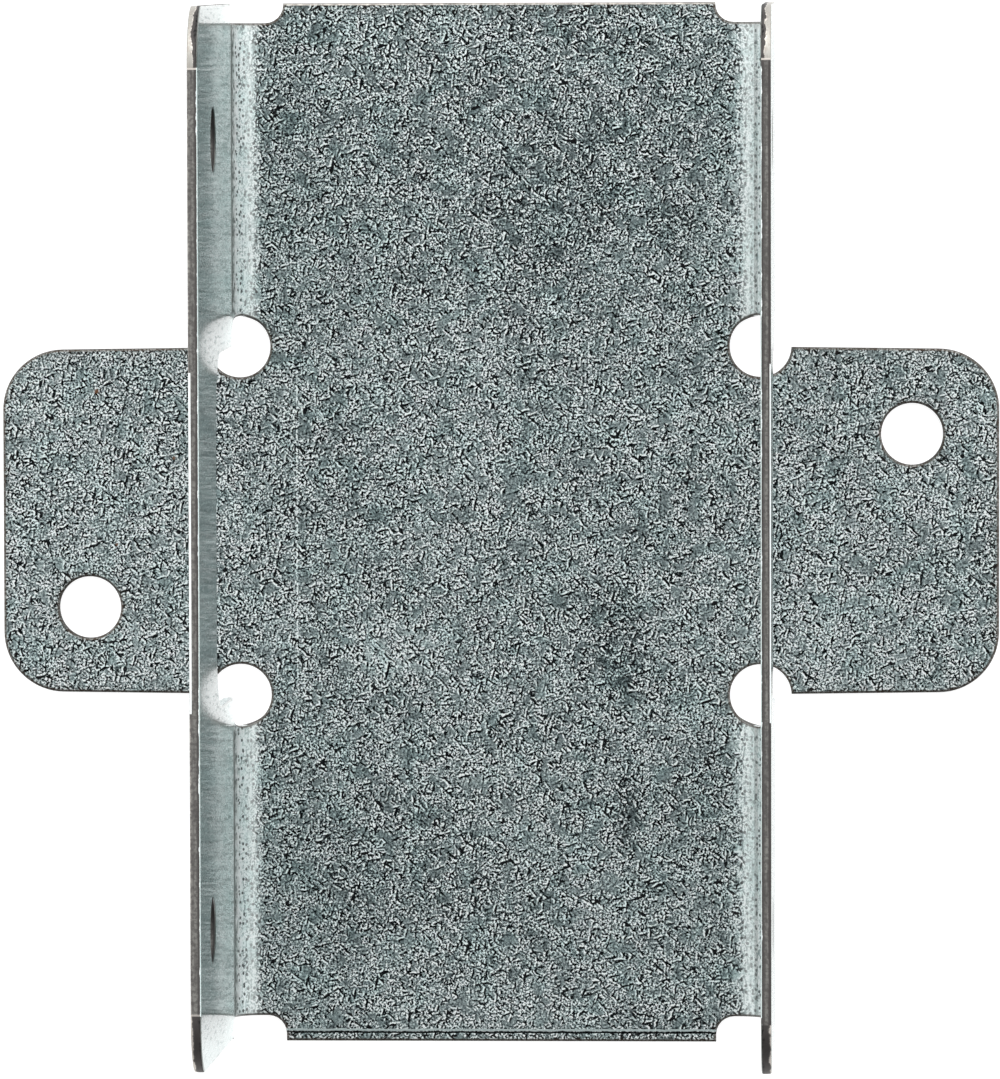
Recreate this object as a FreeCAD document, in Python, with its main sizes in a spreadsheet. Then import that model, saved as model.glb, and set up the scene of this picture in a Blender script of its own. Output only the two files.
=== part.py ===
import FreeCAD, Part
import math
import os

import Sketcher

# Rigid tie connector: one piece of folded galvanised sheet steel.
# A channel with a flat base and two upright flanges takes a timber of nominal 2 inch stock.
# Each flange has a tab lanced out of it, which stays flat in the plane of the base and is screwed
# to the timber that crosses behind. What the tab leaves is a window in the flange, with a bridge over it.
# Round relief holes end the bend on both sides of each tab, and notches relieve it at the four corners.
#
# Frame: origin in the middle of the base's underside, +Y along the channel, +Z up along the flanges.

ORIGIN = (-1, 1)
AXIS_ACROSS = -1
AXIS_UP = -2
START, END, CENTRE = 1, 2, 3

SIZES = {
    "inside_width": (40.4, "between the flanges, for a timber 38 mm wide"),
    "sheet": (0.76, "thickness of the sheet"),
    "bend_radius": (2.0, "inside radius of the two bends"),
    "bend_factor": (0.4, "neutral line of the bend, as a share of the sheet"),
    "overall_height": (34.9, "underside of the base to the flanges' top edges"),
    "channel_length": (78.8, "length of the base and of the flanges at the base"),
    "parting_lip": (0.45, "what the parting cut leaves beyond the length at the -Y end of the base"),
    "flange_end_lean_deg": (1.3, "degrees that the flanges' end edges lean inwards"),
    "flange_corner": (4.3, "radius of the flanges' top corners"),
    "tab_span": (76.0, "tip to tip over both tabs"),
    "tab_root_width": (26.6, "width of a tab at the bend"),
    "tab_side_lean_deg": (0.8, "degrees that a tab's sides lean inwards"),
    "tab_corner": (4.6, "radius of a tab's corners"),
    "screw_hole": (4.7, "diameter of the screw holes"),
    "tab_hole_reach": (31.36, "tab holes, out from the middle of the base"),
    "tab_hole_offset": (6.6, "tab holes, along the channel from the middle"),
    "flange_hole_reach": (29.03, "flange holes, along the channel from the middle"),
    "flange_hole_low": (20.8, "lower hole of each flange above the underside"),
    "flange_hole_high": (23.7, "higher hole of each flange above the underside"),
    "relief_hole": (4.7, "diameter of the relief holes at the ends of the tabs' roots"),
    "relief_inset": (0.35, "relief holes' centres, inwards from the flanges' inner faces"),
    "notch_reach": (3.77, "corner notch, from the inside corner of the bend into base and flange"),
    "notch_depth": (1.5, "corner notch, along the channel"),
    "notch_corner": (1.4, "radius inside the corner notch"),
    "cut_margin": (3.0, "how far cutting shapes stand past the sheet"),
}

# A bend rises this far above the base's top face by the middle of its turn.
BEND_MIDDLE = "$bend_radius * (1 - sqrt(0.5))"

# The tab's flat length from the start of the bend, less the bend's own length, is what is left of the
# flange below the window's top edge.
BEND_LENGTH = "($bend_radius + $bend_factor * $sheet) * pi / 2"
TAB_FLAT_LENGTH = "($tab_span / 2 - $inside_width / 2 + $bend_radius)"
WINDOW_TOP = f"$sheet + $bend_radius + {TAB_FLAT_LENGTH} - {BEND_LENGTH}"

doc = FreeCAD.newDocument("rigid_tie_connector")


def make_sheet():
    """Write the driving dimensions to a spreadsheet, one alias for each."""
    sheet = doc.addObject("Spreadsheet::Sheet", "Sizes")
    for row, (alias, (value, meaning)) in enumerate(SIZES.items(), start=1):
        sheet.set(f"A{row}", alias)
        sheet.set(f"B{row}", str(value))
        sheet.set(f"C{row}", meaning)
        sheet.setAlias(f"B{row}", alias)
    doc.recompute()


def size(alias):
    """Read a driving dimension, for the first guess that a sketch is solved from."""
    return float(doc.Sizes.get(alias))


def cell(formula):
    """Turn size names marked with $ into references to the spreadsheet."""
    return formula.replace("$", "Sizes.")


def origin_feature(body, role):
    """Find one of the body's own origin planes or axes."""
    return [item for item in body.Origin.OriginFeatures if item.Role == role][0]


def new_sketch(body, name, plane_role):
    """Add a sketch on one of the body's own origin planes."""
    sketch = body.newObject("Sketcher::SketchObject", name)
    sketch.AttachmentSupport = [(origin_feature(body, plane_role), "")]
    sketch.MapMode = "FlatFace"
    return sketch


def line(sketch, start, end):
    """Add a line and return its number."""
    return sketch.addGeometry(Part.LineSegment(FreeCAD.Vector(*start, 0), FreeCAD.Vector(*end, 0)))


def arc(sketch, centre, radius, from_degrees, to_degrees):
    """Add an arc, counter-clockwise, and return its number."""
    whole = Part.Circle(FreeCAD.Vector(*centre, 0), FreeCAD.Vector(0, 0, 1), radius)
    return sketch.addGeometry(Part.ArcOfCircle(whole, math.radians(from_degrees), math.radians(to_degrees)))


def circle(sketch, centre, radius):
    """Add a circle and return its number."""
    return sketch.addGeometry(Part.Circle(FreeCAD.Vector(*centre, 0), FreeCAD.Vector(0, 0, 1), radius))


def rule(sketch, kind, *places):
    """Add a geometric constraint."""
    return sketch.addConstraint(Sketcher.Constraint(kind, *places))


def measure(sketch, name, formula, kind, *places):
    """Add a dimension, named and bound to the spreadsheet."""
    index = sketch.addConstraint(Sketcher.Constraint(kind, *places))
    sketch.renameConstraint(index, name)
    sketch.setExpression(f"Constraints.{name}", cell(formula))


def join(sketch, *pairs, kind="Coincident"):
    """Join the ends of lines and arcs, smoothly if kind is Tangent."""
    for first, second in pairs:
        rule(sketch, kind, *first, *second)


def finish_sketch(sketch):
    """Stop unless the sketch is solved and has no freedom left."""
    doc.recompute()
    state = sketch.solve()
    if state != 0 or not sketch.FullyConstrained:
        surplus = sketch.RedundantConstraints + sketch.ConflictingConstraints
        raise RuntimeError(f"{sketch.Name} is not fully constrained: state {state}, surplus {surplus}")


def pad_up(body, name, sketch):
    """Pad a sketch on the underside up through the sheet's thickness."""
    pad = body.newObject("PartDesign::Pad", name)
    pad.Profile = sketch
    pad.setExpression("Length", cell("$sheet"))
    return pad


def cut(body, name, sketch, formula=None, both_ways=False):
    """Pocket along the sketch's normal: through everything, or as deep as the formula says."""
    before = body.Shape.Volume
    pocket = body.newObject("PartDesign::Pocket", name)
    pocket.Profile = sketch
    pocket.Type = "ThroughAll" if formula is None else "Length"
    if formula is not None:
        pocket.setExpression("Length", cell(formula))
    if both_ways:
        pocket.SideType = "Symmetric"
    else:
        pocket.Reversed = True
    doc.recompute()
    if not body.Shape.Volume < before:
        raise RuntimeError(f"{name} removes nothing")
    return pocket


def half_turn(body, name, feature):
    """Repeat a feature by half a turn about the upright axis."""
    pattern = body.newObject("PartDesign::PolarPattern", name)
    pattern.Originals = [feature]
    pattern.Axis = (origin_feature(body, "Z_Axis"), [""])
    pattern.Angle = 360
    pattern.Occurrences = 2
    body.Tip = pattern
    doc.recompute()


def mirror_ends(body, name, features):
    """Repeat features of the +Y end at the -Y end."""
    mirrored = body.newObject("PartDesign::Mirrored", name)
    mirrored.Originals = features
    mirrored.MirrorPlane = (origin_feature(body, "XZ_Plane"), [""])
    body.Tip = mirrored
    doc.recompute()


def channel_section(body):
    """Draw the U of base, bends and flanges, with concentric inner and outer bends."""
    sketch = new_sketch(body, "channel_section", "XZ_Plane")
    inner = size("inside_width") / 2
    outer = inner + size("sheet")
    turn = inner - size("bend_radius")
    floor = size("sheet")
    rise = floor + size("bend_radius")
    top = size("overall_height")

    left_out = line(sketch, (-outer, top), (-outer, rise))
    left_outer_bend = arc(sketch, (-turn, rise), rise, 180, 270)
    underside = line(sketch, (-turn, 0), (turn, 0))
    right_outer_bend = arc(sketch, (turn, rise), rise, 270, 360)
    right_out = line(sketch, (outer, rise), (outer, top))
    right_rim = line(sketch, (outer, top), (inner, top))
    right_in = line(sketch, (inner, top), (inner, rise))
    right_inner_bend = arc(sketch, (turn, rise), rise - floor, 270, 360)
    base_top = line(sketch, (turn, floor), (-turn, floor))
    left_inner_bend = arc(sketch, (-turn, rise), rise - floor, 180, 270)
    left_in = line(sketch, (-inner, rise), (-inner, top))
    left_rim = line(sketch, (-inner, top), (-outer, top))

    join(sketch,
         ((left_out, END), (left_outer_bend, START)), ((left_outer_bend, END), (underside, START)),
         ((underside, END), (right_outer_bend, START)), ((right_outer_bend, END), (right_out, START)),
         ((right_in, END), (right_inner_bend, END)), ((right_inner_bend, START), (base_top, START)),
         ((base_top, END), (left_inner_bend, END)), ((left_inner_bend, START), (left_in, START)),
         kind="Tangent")
    join(sketch,
         ((right_out, END), (right_rim, START)), ((right_rim, END), (right_in, START)),
         ((left_in, END), (left_rim, START)), ((left_rim, END), (left_out, START)),
         ((left_outer_bend, CENTRE), (left_inner_bend, CENTRE)),
         ((right_outer_bend, CENTRE), (right_inner_bend, CENTRE)))
    for upright in (left_out, right_out, left_in, right_in):
        rule(sketch, "Vertical", upright)
    for level in (base_top, right_rim, left_rim):
        rule(sketch, "Horizontal", level)
    rule(sketch, "PointOnObject", underside, START, AXIS_ACROSS)
    rule(sketch, "Symmetric", underside, START, underside, END, AXIS_UP)
    rule(sketch, "Horizontal", right_rim, START, left_rim, START)
    rule(sketch, "Equal", right_inner_bend, left_inner_bend)

    measure(sketch, "sheet", "$sheet", "DistanceY", *ORIGIN, base_top, START, floor)
    measure(sketch, "bend", "$bend_radius", "Radius", right_inner_bend, rise - floor)
    measure(sketch, "inside", "$inside_width", "DistanceX", left_in, START, right_in, END, 2 * inner)
    measure(sketch, "height", "$overall_height", "DistanceY", *ORIGIN, right_rim, START, top)
    finish_sketch(sketch)
    return sketch


def flange_end(body):
    """Draw what is trimmed off a flange's +Y end: a leaning edge and a round top corner."""
    sketch = new_sketch(body, "flange_end", "YZ_Plane")
    end = size("channel_length") / 2
    floor = size("sheet")
    top = size("overall_height")
    radius = size("flange_corner")
    lean = math.radians(size("flange_end_lean_deg"))
    margin = size("cut_margin")
    middle = (end - (top - radius - floor) * math.tan(lean) - radius, top - radius)
    touch = (middle[0] + radius * math.cos(lean), middle[1] + radius * math.sin(lean))

    edge = line(sketch, (end, floor), touch)
    corner = arc(sketch, middle, radius, math.degrees(lean), 90)
    rise = line(sketch, (middle[0], top), (middle[0], top + margin))
    roof = line(sketch, (middle[0], top + margin), (end + margin, top + margin))
    side = line(sketch, (end + margin, top + margin), (end + margin, floor))
    foot = line(sketch, (end + margin, floor), (end, floor))

    join(sketch, ((edge, END), (corner, START)), kind="Tangent")
    join(sketch, ((corner, END), (rise, START)), ((rise, END), (roof, START)), ((roof, END), (side, START)),
         ((side, END), (foot, START)), ((foot, END), (edge, START)))
    for upright in (rise, side):
        rule(sketch, "Vertical", upright)
    for level in (roof, foot):
        rule(sketch, "Horizontal", level)
    rule(sketch, "Vertical", corner, CENTRE, corner, END)

    measure(sketch, "end", "$channel_length / 2", "DistanceX", *ORIGIN, edge, START, end)
    measure(sketch, "floor", "$sheet", "DistanceY", *ORIGIN, edge, START, floor)
    measure(sketch, "lean", "90 deg + $flange_end_lean_deg * 1 deg", "Angle", edge, math.pi / 2 + lean)
    measure(sketch, "corner", "$flange_corner", "Radius", corner, radius)
    measure(sketch, "top", "$overall_height", "DistanceY", *ORIGIN, corner, END, top)
    measure(sketch, "above", "$cut_margin", "DistanceY", rise, START, rise, END, margin)
    measure(sketch, "beyond", "$cut_margin", "DistanceX", edge, START, side, END, margin)
    finish_sketch(sketch)
    return sketch


def notch_in_base(body):
    """Draw the +Y corner notches as they cut the base and the foot of the bends."""
    sketch = new_sketch(body, "notch_in_base", "XY_Plane")
    inner = size("inside_width") / 2 - size("notch_reach")
    outer = size("inside_width") / 2 + size("sheet") + size("cut_margin")
    end = size("channel_length") / 2
    bottom = end - size("notch_depth")
    far = end + size("cut_margin")
    radius = size("notch_corner")

    for name, hand in (("right", 1), ("left", -1)):
        inner_side = line(sketch, (hand * inner, far), (hand * inner, bottom + radius))
        turn = (180, 270) if hand > 0 else (270, 360)
        corner = arc(sketch, (hand * (inner + radius), bottom + radius), radius, *turn)
        leave, arrive = (START, END) if hand > 0 else (END, START)
        floor = line(sketch, (hand * (inner + radius), bottom), (hand * outer, bottom))
        outer_side = line(sketch, (hand * outer, bottom), (hand * outer, far))
        back = line(sketch, (hand * outer, far), (hand * inner, far))
        join(sketch, ((inner_side, END), (corner, leave)), ((floor, START), (corner, arrive)), kind="Tangent")
        join(sketch, ((floor, END), (outer_side, START)), ((outer_side, END), (back, START)),
             ((back, END), (inner_side, START)))
        for upright in (inner_side, outer_side):
            rule(sketch, "Vertical", upright)
        for level in (floor, back):
            rule(sketch, "Horizontal", level)
        first, second = (ORIGIN, (inner_side, START)) if hand > 0 else ((inner_side, START), ORIGIN)
        measure(sketch, f"{name}_inner", "$inside_width / 2 - $notch_reach", "DistanceX",
                *first, *second, inner)
        first, second = (ORIGIN, (outer_side, START)) if hand > 0 else ((outer_side, START), ORIGIN)
        measure(sketch, f"{name}_outer", "$inside_width / 2 + $sheet + $cut_margin", "DistanceX",
                *first, *second, outer)
        measure(sketch, f"{name}_bottom", "$channel_length / 2 - $notch_depth", "DistanceY",
                *ORIGIN, floor, START, bottom)
        measure(sketch, f"{name}_far", "$channel_length / 2 + $cut_margin", "DistanceY",
                *ORIGIN, back, START, far)
        measure(sketch, f"{name}_corner", "$notch_corner", "Radius", corner, radius)
    finish_sketch(sketch)
    return sketch


def notch_in_flange(body):
    """Draw the same +Y notch as it runs on up the flanges, above the base's top face."""
    sketch = new_sketch(body, "notch_in_flange", "YZ_Plane")
    end = size("channel_length") / 2
    bottom = end - size("notch_depth")
    far = end + size("cut_margin")
    floor = size("sheet")
    top = floor + size("notch_reach")
    radius = size("notch_corner")

    inner_side = line(sketch, (bottom, floor), (bottom, top - radius))
    corner = arc(sketch, (bottom + radius, top - radius), radius, 90, 180)
    roof = line(sketch, (bottom + radius, top), (far, top))
    back = line(sketch, (far, top), (far, floor))
    foot = line(sketch, (far, floor), (bottom, floor))
    join(sketch, ((inner_side, END), (corner, END)), ((roof, START), (corner, START)), kind="Tangent")
    join(sketch, ((roof, END), (back, START)), ((back, END), (foot, START)),
         ((foot, END), (inner_side, START)))
    for upright in (inner_side, back):
        rule(sketch, "Vertical", upright)
    for level in (roof, foot):
        rule(sketch, "Horizontal", level)

    measure(sketch, "bottom", "$channel_length / 2 - $notch_depth", "DistanceX",
            *ORIGIN, inner_side, START, bottom)
    measure(sketch, "far", "$channel_length / 2 + $cut_margin", "DistanceX", *ORIGIN, back, START, far)
    measure(sketch, "floor", "$sheet", "DistanceY", *ORIGIN, inner_side, START, floor)
    measure(sketch, "top", "$sheet + $notch_reach", "DistanceY", *ORIGIN, roof, START, top)
    measure(sketch, "corner", "$notch_corner", "Radius", corner, radius)
    finish_sketch(sketch)
    return sketch


def relief_in_base(body):
    """Draw the +Y relief holes where they cut the base, the tabs' roots and the foot of the bends."""
    sketch = new_sketch(body, "relief_in_base", "XY_Plane")
    reach = size("inside_width") / 2 - size("relief_inset")
    offset = size("tab_root_width") / 2
    radius = size("relief_hole") / 2
    right = circle(sketch, (reach, offset), radius)
    left = circle(sketch, (-reach, offset), radius)
    rule(sketch, "Symmetric", right, CENTRE, left, CENTRE, AXIS_UP)
    rule(sketch, "Equal", right, left)
    measure(sketch, "reach", "$inside_width / 2 - $relief_inset", "DistanceX", *ORIGIN, right, CENTRE, reach)
    measure(sketch, "offset", "$tab_root_width / 2", "DistanceY", *ORIGIN, right, CENTRE, offset)
    measure(sketch, "hole", "$relief_hole", "Diameter", right, 2 * radius)
    finish_sketch(sketch)
    return sketch


def relief_in_flange(body):
    """Draw the rest of the same +Y relief holes, folded up with the flange from the middle of the bend."""
    sketch = new_sketch(body, "relief_in_flange", "YZ_Plane")
    offset = size("tab_root_width") / 2
    radius = size("relief_hole") / 2
    middle = size("sheet") + size("relief_inset")
    rise = size("bend_radius") * (1 - math.sqrt(0.5)) - size("relief_inset")
    half = math.sqrt(radius ** 2 - rise ** 2)
    tilt = math.degrees(math.asin(rise / radius))

    arch = arc(sketch, (offset, middle), radius, tilt, 180 - tilt)
    chord = line(sketch, (offset - half, middle + rise), (offset + half, middle + rise))
    join(sketch, ((arch, END), (chord, START)), ((chord, END), (arch, START)))
    rule(sketch, "Horizontal", chord)
    measure(sketch, "offset", "$tab_root_width / 2", "DistanceX", *ORIGIN, arch, CENTRE, offset)
    measure(sketch, "middle", "$sheet + $relief_inset", "DistanceY", *ORIGIN, arch, CENTRE, middle)
    measure(sketch, "hole", "$relief_hole / 2", "Radius", arch, radius)
    measure(sketch, "mid_bend", f"{BEND_MIDDLE} - $relief_inset", "DistanceY",
            arch, CENTRE, chord, START, rise)
    finish_sketch(sketch)
    return sketch


def tab_outline(body):
    """Draw both tabs as one strip across the base, with leaning sides and round corners."""
    sketch = new_sketch(body, "tab_outline", "XY_Plane")
    root = size("inside_width") / 2
    tip = size("tab_span") / 2
    half = size("tab_root_width") / 2
    radius = size("tab_corner")
    lean = size("tab_side_lean_deg")
    inset = (tip - root) * math.tan(math.radians(lean))

    back = line(sketch, (root, half), (-root, half))
    front = line(sketch, (-root, -half), (root, -half))
    sides = {}
    for name, hand in (("right", 1), ("left", -1)):
        end = hand * (tip - radius)
        upper = line(sketch, (hand * root, half), (end, half - inset))
        lower = line(sketch, (hand * root, -half), (end, -half + inset))
        edge = line(sketch, (hand * tip, half - radius - inset), (hand * tip, -half + radius + inset))
        upper_turn = (0, 90) if hand > 0 else (90, 180)
        lower_turn = (270, 360) if hand > 0 else (180, 270)
        upper_arc = arc(sketch, (end, half - radius - inset), radius, *upper_turn)
        lower_arc = arc(sketch, (end, -half + radius + inset), radius, *lower_turn)
        near, far = (START, END) if hand > 0 else (END, START)
        join(sketch, ((upper, END), (upper_arc, far)), ((edge, START), (upper_arc, near)),
             ((lower, END), (lower_arc, near)), ((edge, END), (lower_arc, far)), kind="Tangent")
        rule(sketch, "Vertical", edge)
        rule(sketch, "Equal", upper_arc, lower_arc)
        measure(sketch, f"{name}_corner", "$tab_corner", "Radius", upper_arc, radius)
        sides[name] = (upper, lower, edge)

    upper, lower, right_edge = sides["right"]
    join(sketch, ((back, START), (upper, START)), ((front, END), (lower, START)))
    measure(sketch, "right_upper_lean", "-$tab_side_lean_deg * 1 deg", "Angle", upper, math.radians(-lean))
    measure(sketch, "right_lower_lean", "$tab_side_lean_deg * 1 deg", "Angle", lower, math.radians(lean))
    upper, lower, left_edge = sides["left"]
    join(sketch, ((back, END), (upper, START)), ((front, START), (lower, START)))
    measure(sketch, "left_upper_lean", "180 deg + $tab_side_lean_deg * 1 deg", "Angle",
            upper, math.radians(180 + lean))
    measure(sketch, "left_lower_lean", "180 deg - $tab_side_lean_deg * 1 deg", "Angle",
            lower, math.radians(180 - lean))
    rule(sketch, "Symmetric", back, START, back, END, AXIS_UP)
    rule(sketch, "Symmetric", back, START, front, END, AXIS_ACROSS)
    rule(sketch, "Symmetric", back, END, front, START, AXIS_ACROSS)
    measure(sketch, "root", "$inside_width / 2", "DistanceX", *ORIGIN, back, START, root)
    measure(sketch, "width", "$tab_root_width / 2", "DistanceY", *ORIGIN, back, START, half)
    measure(sketch, "right_tip", "$tab_span / 2", "DistanceX", *ORIGIN, right_edge, START, tip)
    measure(sketch, "left_tip", "$tab_span / 2", "DistanceX", left_edge, START, *ORIGIN, tip)
    finish_sketch(sketch)
    return sketch


def window_outline(body):
    """Draw the window that a tab leaves in its flange, as long as the tab was before the fold."""
    sketch = new_sketch(body, "window_outline", "YZ_Plane")
    half = size("tab_root_width") / 2
    floor = size("sheet")
    bend = size("bend_radius")
    flat = size("tab_span") / 2 - size("inside_width") / 2 + bend
    top = floor + bend + flat - (bend + size("bend_factor") * floor) * math.pi / 2
    radius = size("tab_corner")
    lean = size("tab_side_lean_deg")
    inset = (top - floor) * math.tan(math.radians(lean))

    right = line(sketch, (half, floor), (half - inset, top - radius))
    right_arc = arc(sketch, (half - radius - inset, top - radius), radius, 0, 90)
    roof = line(sketch, (half - radius - inset, top), (-half + radius + inset, top))
    left_arc = arc(sketch, (-half + radius + inset, top - radius), radius, 90, 180)
    left = line(sketch, (-half + inset, top - radius), (-half, floor))
    sill = line(sketch, (-half, floor), (half, floor))
    join(sketch, ((right, END), (right_arc, START)), ((roof, START), (right_arc, END)),
         ((roof, END), (left_arc, START)), ((left, START), (left_arc, END)), kind="Tangent")
    join(sketch, ((left, END), (sill, START)), ((sill, END), (right, START)))
    rule(sketch, "Horizontal", roof)
    rule(sketch, "Symmetric", sill, START, sill, END, AXIS_UP)
    rule(sketch, "Equal", right_arc, left_arc)

    measure(sketch, "half_width", "$tab_root_width / 2", "DistanceX", *ORIGIN, right, START, half)
    measure(sketch, "floor", "$sheet", "DistanceY", *ORIGIN, right, START, floor)
    measure(sketch, "top", WINDOW_TOP, "DistanceY", *ORIGIN, roof, START, top)
    measure(sketch, "corner", "$tab_corner", "Radius", right_arc, radius)
    measure(sketch, "right_lean", "90 deg + $tab_side_lean_deg * 1 deg", "Angle",
            right, math.radians(90 + lean))
    measure(sketch, "left_lean", "-90 deg - $tab_side_lean_deg * 1 deg", "Angle",
            left, math.radians(-90 - lean))
    finish_sketch(sketch)
    return sketch


def lip_outline(body):
    """Draw the strip that the parting cut leaves on the -Y end of the base, between its notches."""
    sketch = new_sketch(body, "lip_outline", "XY_Plane")
    half = size("inside_width") / 2 - size("notch_reach")
    end = size("channel_length") / 2
    reach = end + size("parting_lip")
    inner = line(sketch, (-half, -end), (half, -end))
    right = line(sketch, (half, -end), (half, -reach))
    outer = line(sketch, (half, -reach), (-half, -reach))
    left = line(sketch, (-half, -reach), (-half, -end))
    join(sketch, ((inner, END), (right, START)), ((right, END), (outer, START)),
         ((outer, END), (left, START)), ((left, END), (inner, START)))
    for upright in (right, left):
        rule(sketch, "Vertical", upright)
    rule(sketch, "Horizontal", outer)
    rule(sketch, "Symmetric", inner, START, inner, END, AXIS_UP)
    measure(sketch, "half_width", "$inside_width / 2 - $notch_reach", "DistanceX", *ORIGIN, inner, END, half)
    measure(sketch, "end", "$channel_length / 2", "DistanceY", inner, END, *ORIGIN, end)
    measure(sketch, "lip", "$parting_lip", "DistanceY", right, END, right, START, reach - end)
    finish_sketch(sketch)
    return sketch


def tab_hole(body):
    """Draw the screw hole of the +X tab."""
    sketch = new_sketch(body, "tab_hole", "XY_Plane")
    reach = size("tab_hole_reach")
    offset = size("tab_hole_offset")
    radius = size("screw_hole") / 2
    hole = circle(sketch, (reach, offset), radius)
    measure(sketch, "reach", "$tab_hole_reach", "DistanceX", *ORIGIN, hole, CENTRE, reach)
    measure(sketch, "offset", "$tab_hole_offset", "DistanceY", *ORIGIN, hole, CENTRE, offset)
    measure(sketch, "hole", "$screw_hole", "Diameter", hole, 2 * radius)
    finish_sketch(sketch)
    return sketch


def flange_holes(body):
    """Draw the two screw holes of the +X flange, at two heights, so that facing screws miss each other."""
    sketch = new_sketch(body, "flange_holes", "YZ_Plane")
    reach = size("flange_hole_reach")
    low = size("flange_hole_low")
    high = size("flange_hole_high")
    radius = size("screw_hole") / 2
    lower = circle(sketch, (-reach, low), radius)
    higher = circle(sketch, (reach, high), radius)
    rule(sketch, "Equal", lower, higher)
    measure(sketch, "lower_reach", "$flange_hole_reach", "DistanceX", lower, CENTRE, *ORIGIN, reach)
    measure(sketch, "lower_height", "$flange_hole_low", "DistanceY", *ORIGIN, lower, CENTRE, low)
    measure(sketch, "higher_reach", "$flange_hole_reach", "DistanceX", *ORIGIN, higher, CENTRE, reach)
    measure(sketch, "higher_height", "$flange_hole_high", "DistanceY", *ORIGIN, higher, CENTRE, high)
    measure(sketch, "hole", "$screw_hole", "Diameter", lower, 2 * radius)
    finish_sketch(sketch)
    return sketch


def connector_plate():
    """Build the folded sheet: channel, trimmed flanges, relieved bends, tabs, windows and screw holes."""
    body = doc.addObject("PartDesign::Body", "connector_plate")
    body.Label = "connector_plate"

    channel = body.newObject("PartDesign::Pad", "channel")
    channel.Profile = channel_section(body)
    channel.SideType = "Symmetric"
    channel.setExpression("Length", cell("$channel_length"))
    doc.recompute()

    mirror_ends(body, "other_end", [
        cut(body, "flange_end_cut", flange_end(body), both_ways=True),
        cut(body, "notch_base_cut", notch_in_base(body), f"$sheet + {BEND_MIDDLE}"),
        cut(body, "notch_flange_cut", notch_in_flange(body), both_ways=True),
    ])

    pad_up(body, "parting_lip", lip_outline(body))
    pad_up(body, "tabs", tab_outline(body))
    doc.recompute()
    cut(body, "windows", window_outline(body), both_ways=True)

    mirror_ends(body, "other_reliefs", [
        cut(body, "relief_base_cut", relief_in_base(body), f"$sheet + {BEND_MIDDLE}"),
        cut(body, "relief_flange_cut", relief_in_flange(body), both_ways=True),
    ])

    half_turn(body, "tab_holes", cut(body, "tab_hole_cut", tab_hole(body)))
    half_turn(body, "flange_hole_pairs", cut(body, "flange_hole_cut", flange_holes(body)))
    return body


def check_document():
    """Stop if anything in the document failed."""
    for item in doc.Objects:
        if "Invalid" in item.State or "Error" in item.State:
            raise RuntimeError(f"{item.Name} failed: {item.State}")


make_sheet()
plate = connector_plate()
check_document()
if plate.Shape.isNull() or not plate.Shape.isValid() or len(plate.Shape.Solids) != 1:
    raise RuntimeError("the plate is not one sound solid")

os.makedirs("parts", exist_ok=True)
plate.Shape.exportStep(f"parts/{plate.Label}.step")
print(plate.Label, "volume", round(plate.Shape.Volume, 2), "box", plate.Shape.BoundBox)
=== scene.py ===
"""Rigid tie connector: a flat blank of galvanised sheet, cut, folded and finished, on a white stage."""

import math
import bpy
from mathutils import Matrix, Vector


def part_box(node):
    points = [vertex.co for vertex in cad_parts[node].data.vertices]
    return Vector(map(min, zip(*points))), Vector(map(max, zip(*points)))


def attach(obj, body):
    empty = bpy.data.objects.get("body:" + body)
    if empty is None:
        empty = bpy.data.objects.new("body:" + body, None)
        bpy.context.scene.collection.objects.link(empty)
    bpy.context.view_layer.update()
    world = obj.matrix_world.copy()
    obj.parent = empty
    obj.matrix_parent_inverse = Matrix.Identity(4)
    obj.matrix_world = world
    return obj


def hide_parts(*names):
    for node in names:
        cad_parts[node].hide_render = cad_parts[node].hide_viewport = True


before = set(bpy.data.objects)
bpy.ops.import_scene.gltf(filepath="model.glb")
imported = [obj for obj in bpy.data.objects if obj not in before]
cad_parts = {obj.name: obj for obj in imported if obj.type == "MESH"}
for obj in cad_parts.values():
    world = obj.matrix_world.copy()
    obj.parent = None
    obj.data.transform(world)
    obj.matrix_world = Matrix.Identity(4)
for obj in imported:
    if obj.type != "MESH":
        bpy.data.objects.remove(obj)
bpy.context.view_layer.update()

from types import SimpleNamespace

import bpy
import numpy as np
from bpy.props import FloatProperty, FloatVectorProperty, PointerProperty
from mathutils import Matrix, Vector
from mathutils.geometry import delaunay_2d_cdt

bl_info = {
    "name": "Rigid tie connector",
    "version": (1, 0, 0),
    "blender": (4, 5, 0),
    "location": "View3D > Sidebar > Tie connector",
    "description": "Cuts and folds a galvanised sheet connector and sets a white stage for it",
    "category": "Object",
}

MM = 0.001
PLATE = "connector_plate"
PLATE_LOW, PLATE_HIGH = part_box(PLATE)
BLANK_MAP = "flat_blank"
BLANK_UNIT = 100.0  # millimetres of flat blank to one unit of its UV map
UNDERSIDE_SHIFT = 7.3  # UV units between the top's pattern and the underside's

EDGE_STEP = 0.42  # millimetres between points along a cut edge
FACE_STEP = 0.95  # millimetres between points on a flat face
BEND_ROWS = 12
BEND_STEP = 0.5  # millimetres between points along a bend

# A sheared edge from the punch side to the die side: millimetres in from the cut, share of the sheet's thickness.
EDGE_PROFILE = ((0.24, 1.0), (0.15, 1.0), (0.085, 0.975), (0.03, 0.91), (0.0, 0.80), (0.0, 0.42),
                (0.015, 0.12), (0.03, 0.03), (0.07, 0.0), (0.24, 0.0))
FIRST_CUT_RING, LAST_CUT_RING = 3, 7
RIM_MARK, ROLL_MARK, CUT_MARK = 0.25, 0.5, 1.0  # "cut" attribute on the rim, the rolled-over part and the cut face
TOP_FACE, UNDER_FACE, CUT_FACE = 0, 1, 2

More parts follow.
